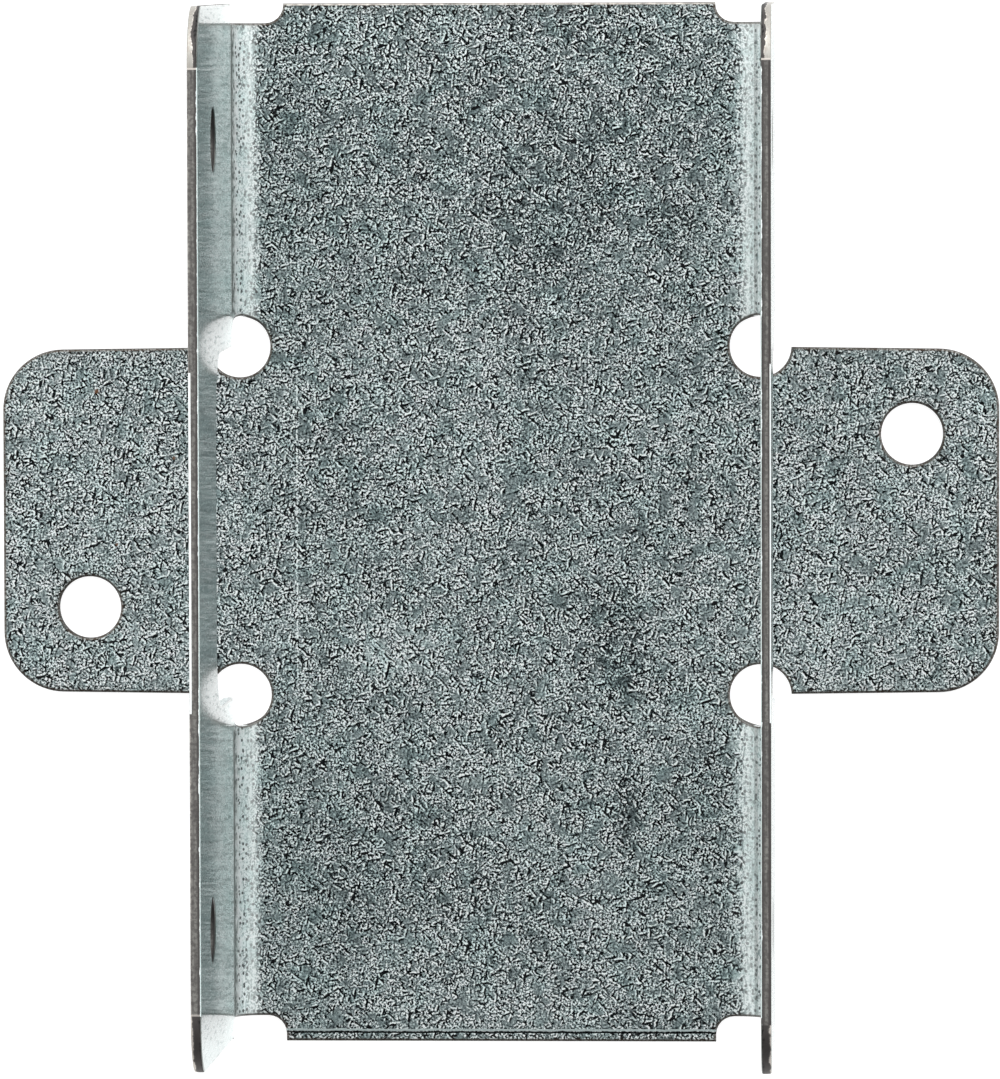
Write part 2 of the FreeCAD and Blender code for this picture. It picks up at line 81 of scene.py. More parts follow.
# In millimetres: room kept free between points and cuts, and the points and the form of the shear crease.
EDGE_ROOM, ROOT_ROOM, LIP_ROOM, STRIP_ROOM = 0.08, 0.1, 0.03, 0.5
STRIP_REACH, STRIP_STEP = 16.0, 0.4
STRIP_ROWS = (0.16, 0.05, 0.0, -0.05, -0.13)
GROOVE_WIDTH, STRIP_SLOPE = 0.045, 0.03
GROOVE_SHARE = 0.5  # depth of the crease's groove, as a share of the strip's drop
ARC_STEPS = 16
BUMP_HEIGHT = 0.02  # millimetres of relief in the crystals and the torn steel

# The stage, in metres. Sky levels go from the front over the top to the back, and rise to the sides.
FLOOR_GLOW = 0.86
FLOOR_RADIUS, FLOOR_SIDES, FLOOR_DROP = 8.0, 64, 0.00002
SKY_LEVELS = ((0.0, 0.10), (0.25, 0.16), (0.42, 0.66), (0.55, 0.74), (1.0, 1.0))
SKY_SIDES = (0.3, 0.8, 1.3, 2.4)
LAMP_SIZE, LAMP_PLACE = (0.9, 0.5), (0.0, 0.75, 0.75)
SENSOR_WIDTH = 36.0  # millimetres
CLIP_START, CLIP_END = 0.01, 50.0


def linear(hex_colour):
    """Turn an sRGB hex colour into linear red, green, blue and alpha."""
    channels = [int(hex_colour[i:i + 2], 16) / 255 for i in (1, 3, 5)]
    return (*[c / 12.92 if c <= 0.04045 else ((c + 0.055) / 1.055) ** 2.4 for c in channels], 1.0)


def length(name, description, millimetres):
    """A size that a user may change, given in millimetres."""
    return FloatProperty(name=name, description=description, default=millimetres * MM, unit="LENGTH", precision=5)


def angle(name, description, degrees):
    """An angle that a user may change, given in degrees."""
    return FloatProperty(name=name, description=description, default=math.radians(degrees), unit="ROTATION")


def colour(name, description, hex_colour):
    """A colour that a user may change, given as sRGB hex."""
    return FloatVectorProperty(name=name, description=description, default=linear(hex_colour), size=4,
                               subtype="COLOR", min=0.0, max=1.0)


class BlankSizes(bpy.types.PropertyGroup):
    """Sizes of the folded sheet."""

    sheet: length("Sheet", "Thickness of the sheet", 0.76)
    bend_radius: length("Bend radius", "Inner radius of the two bends", 2.0)
    neutral_share: FloatProperty(name="Neutral share", description="Depth of the unstretched layer in a bend",
                                 default=0.4, subtype="FACTOR")
    fold: angle("Fold", "How far the flanges are folded up", 90.0)
    inside_width: length("Inside width", "Clear width between the flanges", 40.4)
    height: length("Height", "From the underside to the flanges' top edges", PLATE_HIGH.z / MM)
    flange_end: length("Flange end", "From the middle to a flange's end, at its foot", PLATE_HIGH.y / MM)
    front_end: length("Front end", "From the middle to the base's front end", -PLATE_LOW.y / MM)
    end_lean: angle("End lean", "Lean of the flanges' end edges", 1.3)
    flange_corner: length("Flange corner", "Radius of the flanges' top corners", 4.3)
    tab_reach: length("Tab reach", "From the middle to a tab's tip", PLATE_HIGH.x / MM)
    tab_root: length("Tab root", "Width of a tab at its root", 26.6)
    tab_lean: angle("Tab lean", "Lean of the tabs' side edges", 0.8)
    tab_corner: length("Tab corner", "Radius of the tabs' corners", 4.6)
    screw_hole: length("Screw hole", "Diameter of the screw holes", 4.7)
    tab_hole_reach: length("Tab hole reach", "From the middle to a tab's screw hole, across", 31.36)
    tab_hole_offset: length("Tab hole offset", "From the middle to a tab's screw hole, along", 6.6)
    flange_hole_reach: length("Flange hole reach", "From the middle to a flange's screw hole, along", 29.03)
    flange_hole_low: length("Low flange hole", "Height of a flange's lower screw hole", 20.8)
    flange_hole_high: length("High flange hole", "Height of a flange's upper screw hole", 23.7)
    relief_hole: length("Relief hole", "Diameter of the holes at the ends of the tabs' roots", 4.7)
    relief_inset: length("Relief inset", "Relief holes' centres, in from the flanges' inner faces", 0.35)
    notch_reach: length("Notch reach", "Reach of the corner notches from the bend, both ways", 3.77)
    notch_depth: length("Notch depth", "Depth of the corner notches", 1.5)
    notch_corner: length("Notch corner", "Radius inside the corner notches", 1.4)
    kerf: length("Kerf", "Gap that the lancing tool leaves round a tab", 0.05)
    crease_inset: length("Crease inset", "Shear crease, in from the base's front end", 0.66)
    crease_drop: length("Crease drop", "How far the strip outside the shear crease lies lower", 0.05)


class SheetFinish(bpy.types.PropertyGroup):
    """Colours of the galvanised sheet and its cut edges."""

    pit: colour("Pit", "Deepest tone of the spangle", "#0B0E10")
    shade: colour("Shade", "Shaded side of a crystal", "#475153")
    zinc: colour("Zinc", "Middle tone of the zinc", "#849091")
    light: colour("Light", "Lit side of a crystal", "#C2CFCF")
    # Also the colour of the painted highlight lines on the flanges' top rims and edges, and of the punched windows'
    # walls.
    glint: colour("Glint", "Brightest tone of the spangle", "#F8FCFC")
    # Partly real smooth zinc and partly a painted highlight over the bends.
    stretched: colour("Stretched zinc", "Zinc drawn smooth over the bends", "#E6ECEB")
    rim: colour("Rim", "Thin brownish rim of zinc along a cut", "#4F463F")
    # Laid only on the back ends, which face the lamp: real burnish, painted light there as a painted highlight.
    burnished: colour("Burnished steel", "Band that the punch has rubbed bright", "#B6B5AF")
    torn: colour("Torn steel", "Band that tore through behind it", "#8B8A86")
    cool: colour("Cool tint", "Bluish tint of some patches", "#F1F9F9")
    warm: colour("Warm tint", "Purplish tint of some patches", "#F8F7F8")
    film: colour("Film", "Tint of the clear passivation film", "#EAF5F3")
    smut: colour("Smut", "Dark oily film on the cut edges", "#524F4E")
    # Painted shade: the dark tone laid along the folds and over a seam on each bend.
    grime: colour("Grime", "Dirt in the folds", "#4B5450")
    dust: colour("Dusty steel", "Lighter outer part of a slit edge", "#A8A29B")
    # Partly the real bright rim that the shear leaves and partly a painted highlight on rims that catch the light.
    burr_highlight: colour("Burr", "Bright outer rim of a slit edge", "#DCD6CF")
    rust: colour("Rust", "Tiny rust spots", "#6B4A34")


class StageSettings(bpy.types.PropertyGroup):
    """Floor, light and camera."""

    floor: colour("Floor", "Colour of the plain floor", "#FFFFFF")
    key_power: FloatProperty(name="Key power", description="Power of the large soft lamp in watts", default=4.0,
                             unit="POWER")
    camera_place: FloatVectorProperty(name="Camera place", description="Where the camera stands",
                                      default=(26.01 * MM, 28.79 * MM, 597.07 * MM), unit="LENGTH")
    camera_aim: FloatVectorProperty(name="Camera aim", description="Point that the camera looks at",
                                    default=(-0.006 * MM, -1.429 * MM, 0.76 * MM), unit="LENGTH")
    camera_roll: angle("Camera roll", "Turn of the picture about the line of sight", 0.132)
    lens: FloatProperty(name="Lens", description="Focal length in millimetres, on a 36 mm sensor", default=261.6)


def add_node(tree, kind, settings=None, inputs=None):
    """Add a node: its settings by name, and its inputs by name or number, each a value or an output to link."""
    node = tree.nodes.new(kind)
    for name, value in (settings or {}).items():
        if name == "ramp":
            stops = node.color_ramp.elements
            while len(stops) < len(value):
                stops.new(1.0)
            for stop, (place, shade) in zip(stops, value):
                stop.position, stop.color = place, shade
        else:
            setattr(node, name, value)
    for key, value in (inputs or {}).items():
        if isinstance(value, bpy.types.NodeSocket):
            tree.links.new(value, node.inputs[key])
        else:
            node.inputs[key].default_value = value
    return node


def per_mm(size):
    """Texture scale on the blank's map for a pattern of this size in millimetres."""
    return BLANK_UNIT / size


def derive(kind, settings, inputs, output=0):
    """Add a node to the tree that its linked inputs belong to, and give one of its outputs."""
    tree = next(value.id_data for value in inputs.values() if isinstance(value, bpy.types.NodeSocket))
    return add_node(tree, kind, settings, inputs).outputs[output]


def maths(operation, *values, clamp=False):
    """Add a Math node and give its result."""
    return derive("ShaderNodeMath", {"operation": operation, "use_clamp": clamp}, dict(enumerate(values)))


def product(first, *others):
    """Multiply values."""
    for value in others:
        first = maths("MULTIPLY", first, value)
    return first


def remap(source, low, high, to_low=0.0, to_high=1.0, smooth=False, clamp=True):
    """Add a Map Range node and give its result."""
    settings = {"interpolation_type": "SMOOTHSTEP" if smooth else "LINEAR", "clamp": clamp}
    return derive("ShaderNodeMapRange", settings, dict(enumerate((source, low, high, to_low, to_high))))


def remap_mm(source, start, end, to_low=0.0, to_high=1.0, smooth=False):
    """A value that changes between two places on the blank, given in millimetres."""
    return remap(source, start / BLANK_UNIT, end / BLANK_UNIT, to_low, to_high, smooth)


def on_line(source, place, half_width, unit=1 / BLANK_UNIT):
    """1 on a line and 0 beside it, by its place and half width in millimetres and the source's unit for one."""
    return maths("COMPARE", source, place * unit, half_width * unit)


def blend(share, first, second, way="MIX"):
    """Mix two colours."""
    return derive("ShaderNodeMix", {"data_type": "RGBA", "blend_type": way}, {0: share, 6: first, 7: second}, 2)


def blend_value(share, first, second):
    """Mix two plain values."""
    return derive("ShaderNodeMix", {"data_type": "FLOAT"}, {0: share, 2: first, 3: second})


def ramp(source, stops):
    """Turn a value into a colour, by stops that each have a place and a colour."""
    return derive("ShaderNodeValToRGB", {"ramp": stops}, {0: source})


def noise(vector, scale, detail=2.0, roughness=0.5, distortion=0.0, solid=False):
    """Add a Noise texture, flat unless it is said to be solid, and give its value."""
    inputs = {"Vector": vector, "Scale": scale, "Detail": detail, "Roughness": roughness, "Distortion": distortion}
    return derive("ShaderNodeTexNoise", {"noise_dimensions": "3D" if solid else "2D"}, inputs)


def parts(vector):
    """Split a vector into its parts along the three axes."""
    return add_node(vector.id_data, "ShaderNodeSeparateXYZ", None, {0: vector}).outputs


def stretched(vector, scale):
    """Scale a vector, so that a pattern is drawn out along one axis."""
    return derive("ShaderNodeMapping", None, {0: vector, 3: scale})


def attribute(tree, name):
    """Read a value that the blank's mesh carries."""
    return add_node(tree, "ShaderNodeAttribute", {"attribute_name": name}).outputs["Fac"]


def spot(flat, across, along, width, height):
    """A spot on the blank that fades from its middle, by millimetres to the middle, half width and half height."""
    place = derive("ShaderNodeMapping", {"vector_type": "TEXTURE"},
                   {0: flat, 1: (across / BLANK_UNIT, along / BLANK_UNIT, 0.0),
                    3: (width / BLANK_UNIT, height / BLANK_UNIT, 1.0)})
    return derive("ShaderNodeTexGradient", {"gradient_type": "SPHERICAL"}, {0: place}, 1)


def empty_material(name):
    """A new material with an empty node tree."""
    material = bpy.data.materials.new(name)
    material.use_nodes = True
    material.node_tree.nodes.clear()
    return material


def bend_line(sizes):
    """Where a bend starts, from the middle of the blank."""
    return (sizes.inside_width / 2 - sizes.bend_radius) / MM


def bend_length(sizes):
    """Flat length of a bend, along its unstretched layer."""
    return (sizes.bend_radius + sizes.neutral_share * sizes.sheet) / MM * sizes.fold


def flat_at_height(sizes, rise):
    """Place on the flat blank of a point this far above the base's top, on the bend or the flange."""
    radius = sizes.bend_radius / MM
    if rise >= radius:
        return bend_line(sizes) + bend_length(sizes) + rise - radius
    return bend_line(sizes) + math.acos(1 - rise / radius) * bend_length(sizes) / sizes.fold


def flat_at_width(sizes, across):
    """Place on the flat blank of a point this far across, on the base or the bend seen from above."""
    start = bend_line(sizes)
    if across <= start:
        return across
    return start + math.asin((across - start) / (sizes.bend_radius / MM)) * bend_length(sizes) / sizes.fold


def round_corner(before, corner, after, radius):
    """Arc that rounds a corner, as points from one straight to the next."""
    before, corner, after = (Vector(p) for p in (before, corner, after))
    towards, onwards = (before - corner).normalized(), (after - corner).normalized()
    half = towards.angle(onwards) / 2
    centre = corner + (towards + onwards).normalized() * (radius / math.sin(half))
    start = corner + towards * (radius / math.tan(half)) - centre
    end = corner + onwards * (radius / math.tan(half)) - centre
    sweep = -start.angle_signed(end)
    steps = max(2, math.ceil(abs(sweep) * radius / EDGE_STEP))
    turns = [sweep * i / steps for i in range(steps + 1)]
    return [tuple(centre + Matrix.Rotation(turn, 2) @ start) for turn in turns]


def rounded_outline(corners):
    """Closed outline through corners given as across, along and corner radius."""
    points = []
    for i, (across, along, radius) in enumerate(corners):
        if radius:
            before, after = corners[i - 1], corners[(i + 1) % len(corners)]
            points += round_corner(before[:2], (across, along), after[:2], radius)
        else:
            points.append((across, along))
    return points


def round_hole(across, along, diameter):
    """Outline of a round hole, clockwise."""
    steps = math.ceil(math.pi * diameter / (0.6 * EDGE_STEP))
    turns = [-2 * math.pi * i / steps for i in range(steps)]
    return [(across + diameter / 2 * math.cos(t), along + diameter / 2 * math.sin(t)) for t in turns]


def even_steps(outline):
    """Divide the long straights of a closed outline, so that no step is longer than the edge step."""
    points = []
    for (x, y), (next_x, next_y) in zip(outline, outline[1:] + outline[:1]):
        steps = max(1, math.ceil(math.hypot(next_x - x, next_y - y) / EDGE_STEP))
        points += [(x + (next_x - x) * i / steps, y + (next_y - y) * i / steps) for i in range(steps)]
    return np.array(points)


def blank_outline(sizes):
    """Outer outline of the blank, counter-clockwise, with notches at the four ends of the bends."""
    reach, depth, inner = sizes.notch_reach / MM, sizes.notch_depth / MM, sizes.notch_corner / MM
    base_side = sizes.inside_width / 2 / MM - reach
    back, front = sizes.flange_end / MM, sizes.front_end / MM
    foot, rise = flat_at_height(sizes, reach), (sizes.height - sizes.sheet) / MM
    top = flat_at_height(sizes, rise)
    foot_end = back - reach * math.tan(sizes.end_lean)
    top_end = back - rise * math.tan(sizes.end_lean)
    top_corner = sizes.flange_corner / MM
    right = [(base_side, -front, 0.0), (base_side, depth - back, inner), (foot, depth - back, inner),
             (foot, -foot_end, 0.0), (top, -top_end, top_corner), (top, top_end, top_corner), (foot, foot_end, 0.0),
             (foot, back - depth, inner), (base_side, back - depth, inner), (base_side, back, 0.0)]
    return rounded_outline(right + [(-across, along, radius) for across, along, radius in reversed(right)])


def tab_edge(sizes, across):
    """Half the tab's width at a place across the blank."""
    root = sizes.inside_width / 2 - sizes.relief_inset
    return sizes.tab_root / 2 / MM - (across - root / MM) * math.tan(sizes.tab_lean)


def tab_end(sizes, offset):
    """The tab's two round corners, from the left edge to the right one, moved outwards by an offset."""
    tip, start = sizes.tab_reach / MM + offset, bend_line(sizes)
    corner, root = tab_edge(sizes, tip) + offset, tab_edge(sizes, start) + offset
    radius = sizes.tab_corner / MM
    return (round_corner((start, root), (tip, corner), (tip, -corner), radius)
            + round_corner((tip, corner), (tip, -corner), (start, -root), radius))


def relief_edge(sizes):
    """A relief hole's edge from the flange over the base to the tab: an arch in the flange, a circle below it."""
    radius, inset = sizes.relief_hole / 2 / MM, sizes.relief_inset / MM
    across, along = sizes.inside_width / 2 / MM - inset, tab_edge(sizes, sizes.inside_width / 2 / MM - inset)
    middle = sizes.bend_radius / MM * (1 - math.cos(sizes.fold / 2))
    spring = math.asin((middle - inset) / radius)
    arch = [math.pi / 2 + (spring - math.pi / 2) * i / ARC_STEPS for i in range(ARC_STEPS + 1)]
    base = [math.pi / 2 + spring + (math.pi / 2 - spring) * i / ARC_STEPS for i in range(1, ARC_STEPS + 1)]
    lip = math.asin((sizes.kerf / MM + LIP_ROOM) / radius)
    tab = [math.pi + (math.pi - lip) * i / (2 * ARC_STEPS) for i in range(1, 2 * ARC_STEPS + 1)]
    return ([(flat_at_height(sizes, inset + radius * math.sin(t)), along + radius * math.cos(t)) for t in arch]
            + [(flat_at_width(sizes, across + radius * math.cos(t)), along + radius * math.sin(t)) for t in base]
            + [(across + radius * math.cos(t), along + radius * math.sin(t)) for t in tab])


def lance_outline(sizes):
    """Outline of the cut that frees the right tab: window edge, relief hole, tab edge and the other relief hole."""
    half_kerf = sizes.kerf / 2 / MM
    relief = relief_edge(sizes)
    near = [(across, -along) for across, along in relief]
    return tab_end(sizes, half_kerf) + near + tab_end(sizes, -half_kerf)[::-1] + relief[::-1]


def cut_outlines(sizes):
    """All outlines of the blank, each with the metal on its left."""
    lance = lance_outline(sizes)
    hole, reach = sizes.screw_hole / MM, sizes.tab_hole_reach / MM
    offset, along = sizes.tab_hole_offset / MM, sizes.flange_hole_reach / MM
    low = flat_at_height(sizes, (sizes.flange_hole_low - sizes.sheet) / MM)
    high = flat_at_height(sizes, (sizes.flange_hole_high - sizes.sheet) / MM)
    holes = [(reach, offset), (-reach, -offset), (low, -along), (high, along), (-low, along), (-high, -along)]
    outlines = [blank_outline(sizes), lance, [(-across, -along) for across, along in lance]]
    outlines = [even_steps(outline) for outline in outlines] + [np.array(round_hole(*h, hole)) for h in holes]
    for i, outline in enumerate(outlines):
        ahead = np.roll(outline, -1, axis=0)
        turning = np.sum(outline[:, 0] * ahead[:, 1] - ahead[:, 0] * outline[:, 1])
        if (turning > 0) != (i == 0):
            outlines[i] = outline[::-1]
    return outlines


def inward(outline):
    """Directions into the metal at each point of an outline, stretched at corners to keep an even inset."""
    ahead = np.roll(outline, -1, axis=0) - outline
    ahead /= np.linalg.norm(ahead, axis=1)[:, None]
    left = np.stack((-ahead[:, 1], ahead[:, 0]), axis=1)
    both = left + np.roll(left, 1, axis=0)
    return both / np.maximum(np.sum(both * both, axis=1) / 2, 0.5)[:, None]


def inside(points, outlines):
    """Which points lie in the metal, by counting the cuts to one side of each."""
    found = np.zeros(len(points), dtype=bool)
    for outline in outlines:
        ahead = np.roll(outline, -1, axis=0)
        for (x, y), (next_x, next_y) in zip(outline, ahead):
            if y == next_y:
                continue
            crosses = (points[:, 1] > y) != (points[:, 1] > next_y)
            found ^= crosses & (points[:, 0] < x + (points[:, 1] - y) / (next_y - y) * (next_x - x))
    return found


def face_points(sizes, outlines):
    """Points inside the metal: rows along the bends, a triangular grid elsewhere."""
    start, run = bend_line(sizes), bend_length(sizes)
    top, end = outlines[0][:, 0].max(), sizes.front_end / MM
    rows = np.arange(-end, end, FACE_STEP * math.sqrt(3) / 2)
    flat = np.array([(x + (FACE_STEP / 2 if i % 2 else 0), y) for i, y in enumerate(rows)
                     for x in np.arange(-top, top, FACE_STEP)])
    off_bend = np.abs(np.abs(flat[:, 0]) - start - run / 2) > run / 2 + 0.4 * FACE_STEP
    bend = np.array([(side * (start + run * i / BEND_ROWS), y) for side in (1, -1) for i in range(BEND_ROWS + 1)
                     for y in np.arange(-end, end, BEND_STEP)])
    crease = sizes.crease_inset / MM
    strip = np.array([(x, -end + crease + shift) for x in np.arange(-STRIP_REACH, STRIP_REACH + 0.1, STRIP_STEP)
                      for shift in STRIP_ROWS])
    points = np.concatenate((flat[off_bend], bend))
    points = points[(points[:, 1] > -end + crease + STRIP_ROOM) | (np.abs(points[:, 0]) > start)]
    points = np.concatenate((points, strip))
    edges = np.concatenate(outlines)
    points = points[inside(points, outlines)]
    room = np.array([np.min(np.sum((edges - p) ** 2, axis=1)) for p in points])
    return points[room > (EDGE_PROFILE[0][0] + EDGE_ROOM) ** 2]


def blank_mesh(sizes):
    """The flat blank as a closed mesh: one triangulation for both faces, and rings of a sheared profile between."""
    outlines = cut_outlines(sizes)
    rims = [outline + inward(outline) * EDGE_PROFILE[0][0] for outline in outlines]
    points = np.concatenate((*rims, face_points(sizes, outlines)))
    starts = np.cumsum([0] + [len(rim) for rim in rims])
    fences = [(a + i, a + (i + 1) % (b - a)) for a, b in zip(starts, starts[1:]) for i in range(b - a)]
    found = delaunay_2d_cdt([Vector(p) for p in points], fences, [], 0, 1e-6)
    if len(found[0]) != len(points):
        raise RuntimeError("the blank's outlines cross or touch")
    order = [sources[0] for sources in found[3]]
    triangles = np.array([[order[i] for i in face] for face in found[2]])
    triangles = triangles[inside(points[triangles].mean(axis=1), rims)]

    count = len(points)
    flat = [points, points]
    through = [np.ones(count), np.zeros(count)]
    cut = [np.where(np.arange(count) < starts[-1], RIM_MARK, 0.0)] * 2
    faces = triangles.tolist() + (triangles[:, ::-1] + count).tolist()
    kinds = [TOP_FACE] * len(triangles) + [UNDER_FACE] * len(triangles)
    used = 2 * count
    for outline, first in zip(outlines, starts):
        size, ways = len(outline), inward(outline)
        rings = [first + np.arange(size)]
        for number, (inset, share) in enumerate(EDGE_PROFILE[1:-1], start=1):
            flat.append(outline + ways * inset)
            through.append(np.full(size, share))
            cut.append(np.full(size, CUT_MARK if FIRST_CUT_RING <= number <= LAST_CUT_RING else ROLL_MARK))
            rings.append(used + np.arange(size))
            used += size
        rings.append(first + count + np.arange(size))
        for number, (upper, lower) in enumerate(zip(rings, rings[1:])):
            quads = np.stack((upper, lower, np.roll(lower, -1), np.roll(upper, -1)), axis=1)
            faces += quads.tolist()
            kind = TOP_FACE if number < FIRST_CUT_RING else CUT_FACE if number < LAST_CUT_RING else UNDER_FACE
            kinds += [kind] * size
    return np.concatenate(flat), np.concatenate(through), np.concatenate(cut), faces, np.array(kinds)


def blank_object(sizes):
    """The flat blank as an object, with its map and the attributes that the fold and the finish read."""
    flat, through, cut, faces, kinds = blank_mesh(sizes)
    end = -sizes.front_end / MM + sizes.crease_inset / MM
    groove = np.exp(-((flat[:, 1] - end) / GROOVE_WIDTH) ** 2) * GROOVE_SHARE
    strip = 1 / (1 + np.exp(np.clip((flat[:, 1] - end) / STRIP_SLOPE, -40, 40)))
    on_base = np.abs(flat[:, 0]) < bend_line(sizes)
    drop = np.where(on_base, (strip + groove) * sizes.crease_drop / MM, 0.0)
    depth = through * (sizes.sheet / MM - drop)
    mesh = bpy.data.meshes.new("flat_blank")
    mesh.from_pydata((np.column_stack((flat, depth)) * MM).tolist(), [], faces)

    border = np.array(tab_end(sizes, 0.0))
    root = bend_line(sizes) - ROOT_ROOM
    border = np.concatenate((border, [(root, -tab_edge(sizes, root)), (root, tab_edge(sizes, root))]))
    folded_out = np.column_stack((np.abs(flat[:, 0]), flat[:, 1]))
    marks = {"tab": inside(folded_out, [border]).astype(float), "through": through, "cut": cut}
    for name, values in marks.items():
        mesh.attributes.new(name, "FLOAT", "POINT").data.foreach_set("value", values)
    mesh.attributes.new("cut_face", "BOOLEAN", "FACE").data.foreach_set("value", kinds == CUT_FACE)
    corners = np.zeros(len(mesh.loops), dtype=np.int32)
    mesh.loops.foreach_get("vertex_index", corners)
    sizes_of_faces = np.array([len(face) for face in faces])
    shift = np.repeat(np.where(kinds == UNDER_FACE, UNDERSIDE_SHIFT, 0.0), sizes_of_faces)
    places = flat[corners] / BLANK_UNIT
    places[:, 0] += shift
    mesh.uv_layers.new(name=BLANK_MAP).data.foreach_set("uv", places.ravel())
    mesh.polygons.foreach_set("use_smooth", np.ones(len(faces), dtype=bool))
    blank = bpy.data.objects.new("folded_sheet", mesh)
    bpy.context.scene.collection.objects.link(blank)
    return blank


def fold_tree():
    """Geometry Nodes that fold a flat blank along two lines, leaving the tabs flat, and give it its materials."""
    tree = bpy.data.node_groups.new("fold_blank", "GeometryNodeTree")
    tree.interface.new_socket("Geometry", in_out="OUTPUT", socket_type="NodeSocketGeometry")
    for name, kind in (("Geometry", "Geometry"), ("Bend Line", "Float"), ("Bend Length", "Float"),
                       ("Outer Radius", "Float"), ("Fold", "Float"), ("Face Material", "Material"),
                       ("Edge Material", "Material")):
        tree.interface.new_socket(name, in_out="INPUT", socket_type="NodeSocket" + kind)
    given = add_node(tree, "NodeGroupInput").outputs
    place = parts(add_node(tree, "GeometryNodeInputPosition").outputs[0])
    tab = add_node(tree, "GeometryNodeInputNamedAttribute", {"data_type": "FLOAT"}, {"Name": "tab"}).outputs[0]
    off_tab = maths("SUBTRACT", 1.0, tab)
    side = maths("SIGN", place[0])
    across = maths("ABSOLUTE", place[0])
    base = maths("MINIMUM", across, given["Bend Line"])
    over = maths("SUBTRACT", across, base)
    bent = maths("MINIMUM", over, given["Bend Length"])
    beyond = maths("SUBTRACT", over, bent)
    share = maths("DIVIDE", bent, given["Bend Length"])
    turn = product(share, given["Fold"])
    radius = maths("SUBTRACT", given["Outer Radius"], place[2])
    sine, cosine = maths("SINE", turn), maths("COSINE", turn)
    out = maths("MULTIPLY_ADD", radius, sine, base)
    out = product(maths("MULTIPLY_ADD", beyond, cosine, out), side)
    up = maths("SUBTRACT", given["Outer Radius"], product(radius, cosine))
    up = maths("MULTIPLY_ADD", beyond, sine, up)
    folded = derive("ShaderNodeCombineXYZ", None, {0: out, 1: place[1], 2: up})
    bend = product(share, off_tab)
    marked = derive("GeometryNodeStoreNamedAttribute", {"data_type": "FLOAT", "domain": "POINT"},
                    {"Geometry": given["Geometry"], "Name": "bend", "Value": bend})
    moved = derive("GeometryNodeSetPosition", None, {"Geometry": marked, "Selection": off_tab, "Position": folded})
    plain = derive("GeometryNodeRealizeInstances", None, {"Geometry": moved})
    faced = derive("GeometryNodeSetMaterial", None, {"Geometry": plain, "Material": given["Face Material"]})
    on_cut = add_node(tree, "GeometryNodeInputNamedAttribute", {"data_type": "BOOLEAN"},
                      {"Name": "cut_face"}).outputs[0]
    edged = derive("GeometryNodeSetMaterial", None,
                   {"Geometry": faced, "Selection": on_cut, "Material": given["Edge Material"]})
    add_node(tree, "NodeGroupOutput", None, {"Geometry": edged})
    return tree


# Patterns of the zinc on the blank: name, size in millimetres, detail, roughness, distortion.
NOISE_LAYERS = (
    ("drift", 24.0, 2.0, 0.5, 0.0), ("mottle", 4.5, 3.0, 0.6, 0.4), ("patch", 1.3, 1.5, 0.6, 0.5),
    ("worm", 0.14, 0.0, 0.5, 0.6), ("cluster", 1.1, 1.5, 0.6, 0.6), ("tint", 2.6, 2.0, 0.6, 0.5),
    ("waver", 0.9, 2.0, 0.6, 0.0), ("grime", 0.7, 3.0, 0.6, 0.3))
MIDDLE_TONE = 0.45  # tone of the zinc between its crystals, from 0 for black to 1 for white

# Dark strokes between the crystals, each with a light fleck at its side: painted shade in small pits, each with a
# painted highlight beside it.
STROKE_TURNS = (0.3, 1.35, 2.4)  # ways that the strokes lie, in radians
STROKE_SIZE = (0.7, 0.2)  # millimetres along and across a stroke
STROKE_TONE, FLECK_TONE = -1.8, 0.7  # tone added
FLECK_SHIFT = 0.14  # millimetres from a stroke to its fleck

# Tone marks on the sheet's top, lighter and darker; two broad ones darken the base a little towards its middle
# and its back end. Millimetres across and along to the middle, half width, half length, tone added.
TONE_MARKS = (
    (9.2, -9.0, 2.4, 7.0, -0.16), (9.8, -22.0, 1.6, 4.5, -0.20), (13.4, 22.1, 2.6, 3.2, -0.16),
    (-8.2, -9.6, 5.4, 3.0, 0.17), (2.0, 24.0, 9.0, 8.0, -0.06), (-15.5, -0.5, 0.1, 16.0, 0.5),
    (-19.7, -9.3, 0.08, 1.4, 0.30), (-27.0, 3.0, 7.0, 6.0, 0.05), (-9.0, -26.0, 8.0, 9.0, -0.05),
    (-28.4, 2.0, 1.0, 4.2, -0.14), (0.0, 0.0, 26.0, 56.0, -0.05), (0.0, 34.0, 26.0, 24.0, -0.06))
RUST_SPOTS = ((-30.8, 9.9, 0.22), (-24.9, 4.8, 0.16), (-29.3, -1.8, 0.14))  # across, along and radius in millimetres

# Places on the flat blank, in millimetres from its middle. Of a pair, the first is where a change starts.
SKIN_WAVER = 0.7  # how far the border of the skin over the bends wanders
RIGHT_SKIN, LEFT_SKIN = (17.0, 18.8), (-17.8, -19.2)
TAB_ROOT_END, RELIEF_END = (14.0, 15.2), (15.5, 16.0)
NOTCH_START = 37.7
FOLD_MIDDLE, FOLD_SPREAD = 21.9, (0.5, 1.7)
FOLD_FOOT = (20.3, 21.5)
SEAM = (19.85, 0.22)  # place and half width
# Where the painted reflection at a flange's foot fades out, going up the flange.
FLANGE_REFLECTION_FADE = (23.0, 36.0)
# The base's back rim gets a painted highlight, where its rolled-over edge faces the lamp.
BACK_RIM_HIGHLIGHT = (39.2, 39.26)
# The shear crease is painted as two lines: a painted highlight on the edge of its step and a painted shade in its
# groove.
CREASE_LIGHT_AND_SHADE = ((-38.98, 0.08, 0.9, "light"), (-39.17, 0.07, 0.95, "pit"))  # place, half width, share and colour
FLANGE_TOP = (53.96, 0.4)  # place and half width
# Where the painted highlight lines on the flanges' top rims end, along.
HIGHLIGHT_END = 34.2

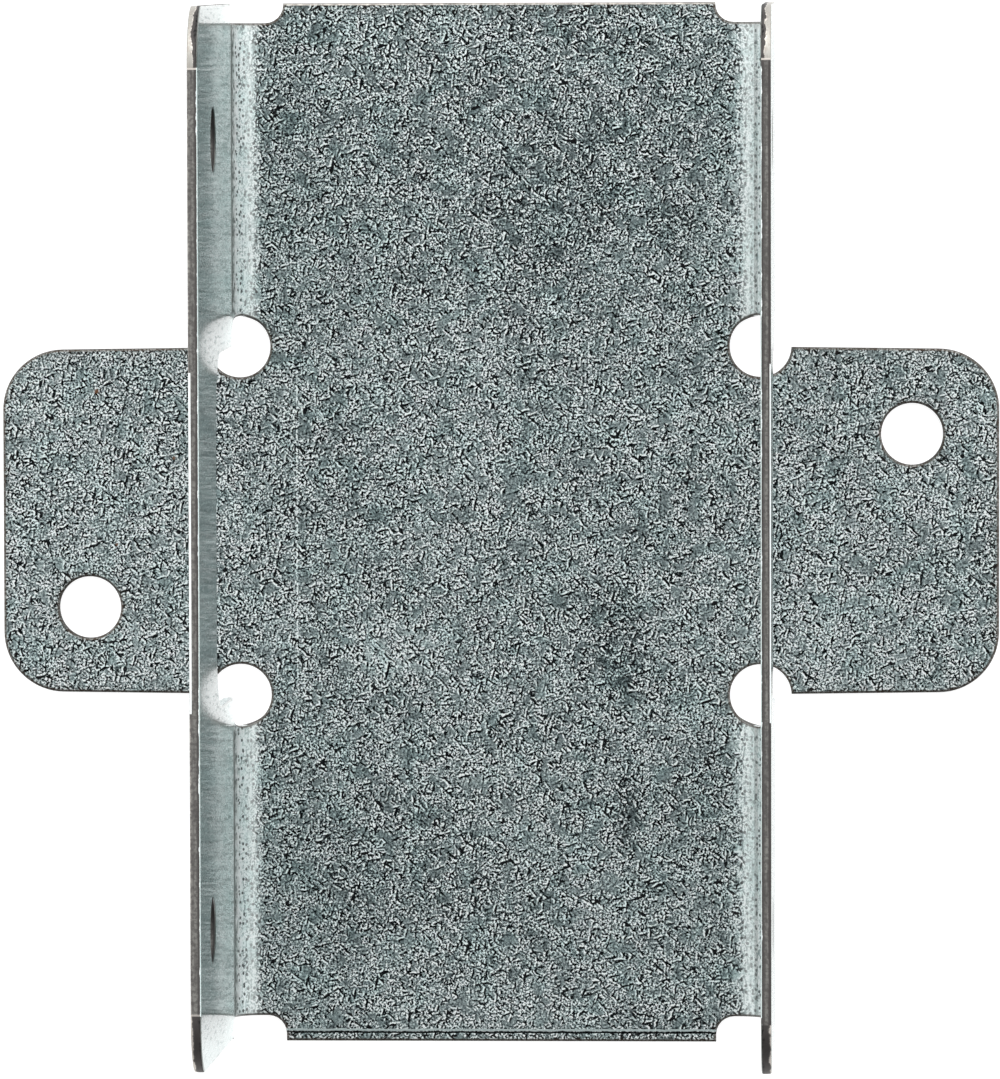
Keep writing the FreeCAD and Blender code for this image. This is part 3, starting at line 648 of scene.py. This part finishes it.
# Places on the folded part, in millimetres from its middle or up from the base's underside.
SLIT_END, SLIT_LIP = 34.42, 0.07  # where the slit long edges of the flanges end, and half the lip there
SIDE_SKEW = -0.0146  # that end lies further out on the right by this share of the way across
TOP_EDGE = 34.5  # cut edges above this are the flanges' top edges
BESIDE_TAB, WINDOW_END = 12.6, 16.3
WINDOW_HEIGHT, HOLE_HEIGHT, HOLE_REACH = (9.6, 8.6), (22.25, 4.5), (29.03, 2.8)  # middle and half size


def sheet_areas(tree, flat, layers):
    """Where on the sheet a point lies: its place on the blank, and shares from 0 to 1 of the areas it is in."""
    area = SimpleNamespace()
    area.across, area.ahead, _ = parts(flat)
    area.out = maths("ABSOLUTE", area.across)
    area.along = maths("ABSOLUTE", area.ahead)
    area.top = maths("LESS_THAN", area.across, 1.0)  # the underside's map lies further across
    area.bend, area.cut = attribute(tree, "bend"), attribute(tree, "cut")
    area.upright = remap(area.bend, 0.99, 1.0)
    area.ragged = remap(layers["grime"], 0.3, 0.7, 0.3, 1.3)
    area.shaky = remap(layers["waver"], 0.0, 1.0, -SKIN_WAVER / BLANK_UNIT, SKIN_WAVER / BLANK_UNIT, clamp=False)

    # The skin over a bend starts a little before the right bend and at the left one, and not at the tabs' roots.
    moved = maths("ADD", area.across, area.shaky)
    right = remap_mm(moved, *RIGHT_SKIN, smooth=True)
    left = remap_mm(moved, *LEFT_SKIN, smooth=True)
    past_tab = remap_mm(area.along, *TAB_ROOT_END)
    below_flange = remap(area.bend, 0.96, 1.0, 1.0, 0.0)
    area.drawn = product(maths("MAXIMUM", right, left), area.top, past_tab, below_flange)
    return area


def spangle(flat, layers, ragged):
    """The zinc's crystals: their relief, and their tone with the dark strokes, painted shade in pits with a painted
    highlight fleck beside each, and with the tone marks.
    """
    weight = remap(layers["patch"], 0.34, 0.68, 0.2, 1.15)
    worm = remap(layers["worm"], 0.25, 0.75, -0.6, 0.82, clamp=False)
    relief = product(worm, weight)
    tone = maths("ADD", relief, MIDDLE_TONE)
    crowd = remap(layers["cluster"], 0.42, 0.58, 0.12, 1.05)
    for turn in STROKE_TURNS:
        aside = Vector((-math.sin(turn), math.cos(turn), 0.0)) * FLECK_SHIFT / BLANK_UNIT
        start = Vector((turn, 2.0 * turn, 0.0))
        for shift, change in ((start, STROKE_TONE), (start + aside, FLECK_TONE)):
            lie = derive("ShaderNodeMapping", {"vector_type": "TEXTURE"},
                         {0: flat, 1: shift, 2: (0.0, 0.0, turn),
                          3: (STROKE_SIZE[0] / BLANK_UNIT, STROKE_SIZE[1] / BLANK_UNIT, 1.0)})
            stroke = remap(noise(lie, 1.0, detail=1.0, distortion=0.7), 0.62, 0.68, 0.0, change)
            tone = maths("MULTIPLY_ADD", stroke, crowd, tone)
    for name, most in (("mottle", 0.05), ("drift", 0.03)):
        tone = maths("ADD", tone, remap(layers[name], 0.3, 0.7, -most, most))
    for *place, change in TONE_MARKS:
        mark = remap(spot(flat, *place), 0.0, 0.6, 0.0, change, smooth=True)
        tone = maths("MULTIPLY_ADD", mark, ragged, tone)
    return relief, tone


def bend_tone(flat, area, tone):
    """The tone with the skin over the bends, a bright streaked ground with beads and pores, partly stretched zinc and
    partly a painted highlight, lighter where a bend rises towards its flange; and with calm flanges, painted light at
    their foot as a painted reflection of the bend.
    """
    skid = noise(stretched(flat, (1.0, 0.22, 1.0)), per_mm(0.3))
    skid = remap(skid, 0.3, 0.7, 0.6, 1.05, clamp=False)
    beads = remap(tone, 0.0, 1.0, -0.3, 0.34)
    pores = add_node(flat.id_data, "ShaderNodeTexVoronoi", {"voronoi_dimensions": "2D"},
                     {"Vector": flat, "Scale": per_mm(0.5)}).outputs
    chosen = derive("ShaderNodeSeparateColor", None, {0: pores["Color"]})
    chosen = maths("GREATER_THAN", chosen, 0.4)
    dots = product(remap(pores["Distance"], 0.16, 0.28, -1.2, 0.0), chosen)
    # Painted highlight: lighter where a bend rises towards its flange.
    steep_highlight = remap(area.bend, 0.3, 0.75, 0.0, 0.3)
    for share in (skid, steep_highlight, dots):
        beads = maths("ADD", beads, share)
    tone = blend_value(area.drawn, tone, beads)
    # Calm flanges, painted light at their foot as a painted reflection of the bend, fading upwards.
    calm = product(area.upright, area.top, 0.93)
    plain = remap_mm(area.out, *FLANGE_REFLECTION_FADE, 1.0, 0.68, smooth=True)
    return blend_value(calm, tone, plain)


def fold_shade(area):
    """Share of painted shade in the folds, clear of the relief holes and the corner notches."""
    fold = maths("SUBTRACT", area.out, FOLD_MIDDLE / BLANK_UNIT)
    fold = remap_mm(maths("ABSOLUTE", fold), *FOLD_SPREAD, 1.0, 0.0, smooth=True)
    fold = product(fold, area.upright)
    near = remap_mm(area.out, *FOLD_FOOT, 0.0, 0.9, smooth=True)
    below = maths("SUBTRACT", area.top, area.upright)
    for share in (below, area.ragged):
        near = maths("MULTIPLY", near, share, clamp=True)
    seam = product(on_line(area.across, *SEAM), 0.45)
    for share in (near, seam):
        fold = maths("MAXIMUM", fold, share)
    off_relief = remap_mm(area.along, *RELIEF_END, 0.0, 0.9)
    on_bend = maths("LESS_THAN", area.along, NOTCH_START / BLANK_UNIT)
    return product(fold, off_relief, on_bend)


def line_marks(finish, area, skin):
    """The colour with brown rims along the cuts, the shear crease painted as a highlight and a shade line, and painted
    highlights on the base's back rim and the flanges' top rims; and where the flanges' ones lie.
    """
    halo = product(remap(area.cut, 0.0, 0.25, 0.0, 0.2), area.ragged)
    roll = remap(area.cut, 0.33, 0.5, 0.0, 0.8)
    for share in (halo, roll):
        skin = blend(share, skin, finish.rim)
    wavy = maths("MULTIPLY_ADD", area.shaky, 0.12, area.ahead)
    # Painted highlight and painted shade along the shear crease.
    for place, half_width, most, shade in CREASE_LIGHT_AND_SHADE:
        skin = blend(product(on_line(wavy, place, half_width), most), skin, getattr(finish, shade))
    # Painted highlight in a pale rim colour along the base's back rim, whose rolled-over edge faces the lamp.
    back = product(remap_mm(area.ahead, *BACK_RIM_HIGHLIGHT, 0.0, 0.5), area.ragged)
    skin = blend(back, skin, finish.burr_highlight)
    # Painted highlight: white lines in the glint colour on the rolled-over top rims of the flanges, as far along as
    # the slit edges run.
    brow = on_line(area.out, *FLANGE_TOP)
    slit = maths("LESS_THAN", area.along, HIGHLIGHT_END / BLANK_UNIT)
    highlight_band = product(remap(area.cut, 0.2, 0.45), brow, slit)
    return blend(highlight_band, skin, finish.glint), highlight_band


def zinc_sheet(finish):
    """Material of the sheet's two faces."""
    # Hot-dip galvanised steel sheet with a minimised spangle, passivated and then folded. The zinc froze in fine,
    # feathery crystals, so the eye sees short bright and dark worm marks, black strokes with a white fleck where
    # the crystals are pitted, painted as shade in the pit and a highlight beside it, smoother grey patches between
    # them, and a whitish, streaked skin with small pores over the bends, partly stretched zinc and partly a painted
    # highlight. The folds get painted shade. The thin clear film of the passivation makes it a mirror at a low angle.
    material = empty_material("hot_dip_galvanised_sheet")
    tree = material.node_tree
    flat = add_node(tree, "ShaderNodeUVMap", {"uv_map": BLANK_MAP}).outputs[0]
    layers = {name: noise(flat, per_mm(size), *form) for name, size, *form in NOISE_LAYERS}
    area = sheet_areas(tree, flat, layers)
    relief, tone = spangle(flat, layers, area.ragged)
    tone = bend_tone(flat, area, tone)
    fold = fold_shade(area)

    skin = ramp(tone, ((0.0, finish.pit), (0.25, finish.shade), (0.5, finish.zinc), (0.75, finish.light),
                       (1.0, finish.glint)))
    hue = ramp(layers["tint"], ((0.3, finish.cool), (0.52, linear("#FFFFFF")), (0.72, finish.warm)))
    skin = blend(1.0, skin, hue, "MULTIPLY")
    # Partly stretched zinc and partly a painted highlight: a whitish band along the lower part of each bend.
    streak = ramp(area.bend, ((0.0, linear("#000000")), (0.22, linear("#B4B4B4")), (0.36, linear("#B4B4B4")),
                              (0.48, linear("#606060"))))
    skin = blend(product(streak, area.drawn), skin, finish.stretched)
    # Painted shade along the folds.
    skin = blend(fold, skin, finish.grime)
    skin, highlight_band = line_marks(finish, area, skin)
    for across, along, radius in RUST_SPOTS:
        share = remap(spot(flat, across, along, radius, radius), 0.0, 0.4, 0.0, 0.9)
        skin = blend(share, skin, finish.rust)

    metal = remap(maths("MAXIMUM", area.drawn, highlight_band), 0.0, 1.0, 1.0, 0.3)
    metal = maths("SUBTRACT", metal, fold, clamp=True)
    rough = remap(tone, 0.0, 1.0, 0.45, 0.33)
    rough = blend_value(area.upright, rough, 0.28)
    rough = blend_value(fold, rough, 1.0)
    film = remap(area.upright, 0.0, 1.0, 0.2, 0.84)
    runs = noise(stretched(flat, (0.12, 1.0, 1.0)), per_mm(0.28), detail=1.0)
    speck = remap(runs, 0.58, 0.7, 0.0, 0.45)
    for share in (speck, fold):
        film = maths("SUBTRACT", film, share, clamp=True)
    strength = remap(area.bend, 0.1, 1.0, 0.35, 0.03)
    bump = derive("ShaderNodeBump", None, {"Height": relief, "Strength": strength, "Distance": BUMP_HEIGHT * MM})
    shader = derive("ShaderNodeBsdfPrincipled", None,
                    {"Base Color": skin, "Metallic": metal, "Roughness": rough, "Normal": bump, "Coat Weight": film,
                     "Coat Roughness": 0.08, "Coat IOR": 1.5, "Coat Tint": finish.film})
    add_node(tree, "ShaderNodeOutputMaterial", None, {"Surface": shader})
    return material


def edge_areas(tree):
    """Where on the cut edges a point lies: its place, its share of the thickness, and the areas it is in."""
    edge = SimpleNamespace()
    edge.place = add_node(tree, "ShaderNodeTexCoord").outputs["Object"]
    edge.across, edge.along, edge.height = parts(edge.place)
    edge.through = attribute(tree, "through")
    edge.waver = noise(edge.place, 1 / (1.4 * MM), detail=4.0, roughness=0.65, solid=True)
    border = remap(edge.waver, 0.3, 0.7, -0.2, 0.2, clamp=False)
    edge.level = maths("ADD", edge.through, border)
    edge.reach = maths("MULTIPLY_ADD", edge.across, SIDE_SKEW, maths("ABSOLUTE", edge.along))
    edge.cropped = maths("GREATER_THAN", edge.reach, SLIT_END * MM)
    edge.back = product(edge.cropped, maths("GREATER_THAN", edge.along, 0.0))
    edge.front = maths("SUBTRACT", edge.cropped, edge.back)
    return edge


def edge_steel(finish, edge, stripes, grain):
    """Colour of the bare steel: slit along the flanges, cropped at their ends, darker in their holes."""
    # The left edge's outer rim in the pale rim colour, partly a painted highlight.
    slit = ramp(edge.through, ((0.02, finish.burr_highlight), (0.12, finish.torn), (0.6, finish.torn), (0.8, finish.smut)))
    dark_slit = ramp(edge.through, ((0.02, finish.smut), (0.2, finish.smut), (0.34, finish.torn),
                                    (0.5, finish.torn), (0.8, finish.smut)))
    right = maths("GREATER_THAN", edge.across, 0.0)
    slit = blend(right, slit, dark_slit)
    torn = ramp(edge.level, ((0.1, finish.torn), (0.3, finish.smut), (0.7, finish.smut), (0.84, finish.pit)))
    steel = blend(edge.cropped, slit, torn)
    for source, low, high, most in ((stripes, 0.43, 0.6, 0.5), (grain, 0.42, 0.58, 0.62)):
        share = remap(source, low, high, 0.0, most)
        steel = blend(share, steel, finish.smut)
    bore = on_line(edge.height, *HOLE_HEIGHT, MM)
    hole = on_line(edge.reach, *HOLE_REACH, MM)
    return blend(product(bore, hole, 0.55), steel, finish.pit)


def edge_lines(finish, edge, steel):
    """The colour with painted highlight lines along the flanges' top edges, the punched windows' walls in white as
    burnished steel with a painted highlight, and a lip at the slit's end in a pale painted highlight.
    """
    # Painted highlight lines on the flanges' top edges: on the inner rim, and on the outer rim in front of the tabs.
    line = remap(edge.waver, 0.35, 0.65, -0.09, 0.09)
    line = remap(maths("ADD", line, edge.through), 0.91, 0.95)
    width = remap(edge.across, -1.0 * MM, 1.0 * MM, 0.24, 0.14)
    outer = maths("LESS_THAN", edge.through, width)
    at_tab = maths("LESS_THAN", edge.reach, BESIDE_TAB * MM)
    line = maths("MAXIMUM", line, product(outer, at_tab))
    line = product(line, maths("GREATER_THAN", edge.height, TOP_EDGE * MM))
    line = maths("SUBTRACT", line, edge.cropped, clamp=True)
    # The punched windows' walls in the glint colour: burnished steel with a painted highlight.
    arch = on_line(edge.height, *WINDOW_HEIGHT, MM)
    root = maths("LESS_THAN", edge.reach, WINDOW_END * MM)
    line = maths("MAXIMUM", line, product(arch, root))
    steel = blend(line, steel, finish.glint)
    # Pale painted highlight at the slit's end: strongest on the back ends, weaker at the front on the left, none at
    # the front on the right.
    lip = on_line(edge.reach, SLIT_END, SLIT_LIP, MM)
    least = remap(edge.across, -1.0 * MM, 1.0 * MM, 0.5, 0.0)
    dull = remap(edge.along, -1.0 * MM, 1.0 * MM, least, 0.8)
    return blend(product(lip, dull), steel, finish.burr_highlight)


def sheared_edge(finish):
    """Material of the cut edges."""
    # Sheared carbon steel. The slit long edges are dull grey with drawn stripes, a dark oily film, a pale painted
    # highlight on the left one's outer rim and a white painted highlight line on their inner rim. Where the ends were
    # cropped, the outer part of the thickness is burnished, painted light only on the back ends, which face the lamp,
    # as a painted highlight; the rest tore through, dark and uneven, with a pale painted highlight on the front rim.
    material = empty_material("sheared_steel_edge")
    tree = material.node_tree
    edge = edge_areas(tree)
    stripes = noise(stretched(edge.place, (1.0, 0.06, 1.0)), 1 / (0.16 * MM), solid=True)
    grain = noise(edge.place, 1 / (0.2 * MM), detail=3.0, solid=True)
    steel = edge_steel(finish, edge, stripes, grain)

    # The burnished band, only on the back ends, which face the lamp: real burnish with a painted highlight.
    highlight_band = product(remap(edge.level, 0.56, 0.50), edge.back)
    shine = ramp(stripes, ((0.35, finish.dust), (0.5, finish.burnished), (0.65, finish.dust)))
    steel = blend(highlight_band, steel, shine)
    # Pale painted highlight on the front ends' outer rim, and a broken painted highlight line across the middle of the
    # back ends' edge.
    fringe = product(remap(edge.level, 0.17, 0.11, 0.0, 0.9), edge.front)
    broken = remap(grain, 0.47, 0.55, 0.0, 0.8)
    ridge = product(maths("COMPARE", edge.level, 0.49, 0.05), broken)
    fringe = maths("MULTIPLY_ADD", ridge, edge.back, fringe, clamp=True)
    steel = blend(fringe, steel, finish.burr_highlight)
    steel = edge_lines(finish, edge, steel)

    rough = remap(highlight_band, 0.0, 1.0, 0.6, 0.5)
    bump = derive("ShaderNodeBump", None, {"Height": grain, "Strength": 0.4, "Distance": BUMP_HEIGHT * MM})
    shader = derive("ShaderNodeBsdfPrincipled", None,
                    {"Base Color": steel, "Metallic": 0.9, "Roughness": rough, "Normal": bump})
    add_node(tree, "ShaderNodeOutputMaterial", None, {"Surface": shader})
    return material


class CONNECTOR_OT_folded_sheet(bpy.types.Operator):
    """Cut the blank, fold it and give it its finish"""

    bl_idname = "connector.folded_sheet"
    bl_label = "Folded sheet"

    def execute(self, context):
        """Build the piece, hand it to its body and let it stand for the CAD plate."""
        sizes, finish = context.scene.connector_sizes, context.scene.connector_finish
        blank = blank_object(sizes)
        tree = fold_tree()
        modifier = blank.modifiers.new("fold", "NODES")
        modifier.node_group = tree
        given = {"Bend Line": bend_line(sizes) * MM, "Bend Length": bend_length(sizes) * MM,
                 "Outer Radius": sizes.bend_radius + sizes.sheet, "Fold": sizes.fold,
                 "Face Material": zinc_sheet(finish), "Edge Material": sheared_edge(finish)}
        for socket in tree.interface.items_tree:
            if socket.in_out == "INPUT" and socket.name in given:
                modifier[socket.identifier] = given[socket.name]
        blank.update_tag()
        folded = blank.evaluated_get(context.evaluated_depsgraph_get())
        mesh = bpy.data.meshes.new_from_object(folded)
        blank.modifiers.remove(modifier)
        flat, blank.data = blank.data, mesh
        bpy.data.meshes.remove(flat)
        mesh.name = blank.name
        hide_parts(PLATE)
        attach(blank, "root")
        return {"FINISHED"}


def white_floor(stage):
    """Material of the floor."""
    # Matt white board, evenly lit: white to the camera and in the metal, with the object's own soft shadow on it.
    material = empty_material("matt_white_board")
    tree = material.node_tree
    ray = add_node(tree, "ShaderNodeLightPath").outputs
    seen = maths("ADD", ray["Is Camera Ray"], ray["Is Glossy Ray"])
    glow = product(maths("ADD", seen, ray["Is Transmission Ray"]), FLOOR_GLOW)
    white = derive("ShaderNodeEmission", None, {"Color": stage.floor, "Strength": glow})
    board = add_node(tree, "ShaderNodeBsdfDiffuse", None, {"Color": linear("#A8A8A8")}).outputs[0]
    board = derive("ShaderNodeAddShader", None, {0: white, 1: board})
    clear = add_node(tree, "ShaderNodeBsdfTransparent").outputs[0]
    behind = add_node(tree, "ShaderNodeNewGeometry").outputs["Backfacing"]
    shader = derive("ShaderNodeMixShader", None, {0: behind, 1: board, 2: clear})
    add_node(tree, "ShaderNodeOutputMaterial", None, {"Surface": shader})
    return material


class CONNECTOR_OT_stage(bpy.types.Operator):
    """Set the white floor, the soft light and the camera"""

    bl_idname = "connector.stage"
    bl_label = "Stage"

    def execute(self, context):
        """Build the floor, the world, the lamp and the camera."""
        scene, stage = context.scene, context.scene.connector_stage
        mesh = bpy.data.meshes.new("floor")
        turns = [2 * math.pi * i / FLOOR_SIDES for i in range(FLOOR_SIDES)]
        rim = [(FLOOR_RADIUS * math.cos(t), FLOOR_RADIUS * math.sin(t), -FLOOR_DROP) for t in turns]
        mesh.from_pydata(rim, [], [list(range(FLOOR_SIDES))])
        floor = bpy.data.objects.new("floor", mesh)
        floor.data.materials.append(white_floor(stage))
        scene.collection.objects.link(floor)

        world = bpy.data.worlds.new("soft_studio")
        world.use_nodes = True
        tree = world.node_tree
        tree.nodes.clear()
        way = parts(add_node(tree, "ShaderNodeTexCoord").outputs["Generated"])
        side = remap(way[1], -1.0, 1.0)
        side = ramp(side, [(place, (level, level, level, 1.0)) for place, level in SKY_LEVELS])
        side = product(side, remap(maths("ABSOLUTE", way[0]), *SKY_SIDES))
        light = derive("ShaderNodeBackground", None, {"Color": linear("#FFFFFF"), "Strength": side})
        add_node(tree, "ShaderNodeOutputWorld", None, {"Surface": light})
        scene.world = world

        lamp = bpy.data.lights.new("soft_box", "AREA")
        lamp.shape, lamp.energy = "RECTANGLE", stage.key_power
        lamp.size, lamp.size_y = LAMP_SIZE
        soft_box = bpy.data.objects.new("soft_box", lamp)
        soft_box.location = LAMP_PLACE
        soft_box.rotation_euler = (-soft_box.location).to_track_quat("-Z", "Y").to_euler()
        scene.collection.objects.link(soft_box)

        camera = bpy.data.objects.new("camera", bpy.data.cameras.new("camera"))
        camera.data.lens, camera.data.sensor_width = stage.lens, SENSOR_WIDTH
        camera.data.clip_start, camera.data.clip_end = CLIP_START, CLIP_END
        place, aim = Vector(stage.camera_place), Vector(stage.camera_aim)
        back = (place - aim).normalized()
        right = Vector((math.sin(stage.camera_roll), math.cos(stage.camera_roll), 0)).cross(back).normalized()
        turn = Matrix((right, back.cross(right), back)).transposed().to_4x4()
        camera.matrix_world = Matrix.Translation(place) @ turn
        scene.collection.objects.link(camera)
        scene.camera = camera
        scene.view_settings.view_transform = "Standard"
        return {"FINISHED"}


class CONNECTOR_PT_panel(bpy.types.Panel):
    """Sizes, finish and stage of the connector"""

    bl_idname = "CONNECTOR_PT_panel"
    bl_label = "Tie connector"
    bl_space_type = "VIEW_3D"
    bl_region_type = "UI"
    bl_category = "Tie connector"

    def draw(self, context):
        """List the steps and their settings."""
        for operator, group in ((CONNECTOR_OT_folded_sheet, context.scene.connector_sizes),
                                (None, context.scene.connector_finish),
                                (CONNECTOR_OT_stage, context.scene.connector_stage)):
            box = self.layout.box()
            if operator:
                box.operator(operator.bl_idname)
            for name in group.__annotations__:
                box.prop(group, name)


CLASSES = (BlankSizes, SheetFinish, StageSettings, CONNECTOR_OT_folded_sheet, CONNECTOR_OT_stage,
           CONNECTOR_PT_panel)


def register():
    """Register the classes and hang the settings on the scene."""
    for item in CLASSES:
        bpy.utils.register_class(item)
    bpy.types.Scene.connector_sizes = PointerProperty(type=BlankSizes)
    bpy.types.Scene.connector_finish = PointerProperty(type=SheetFinish)
    bpy.types.Scene.connector_stage = PointerProperty(type=StageSettings)


def unregister():
    """Take the settings and the classes away again."""
    del bpy.types.Scene.connector_stage
    del bpy.types.Scene.connector_finish
    del bpy.types.Scene.connector_sizes
    for item in reversed(CLASSES):
        bpy.utils.unregister_class(item)


def main():
    """Register and build everything in order."""
    register()
    bpy.ops.connector.folded_sheet()
    bpy.ops.connector.stage()


if __name__ == "__main__":
    main()
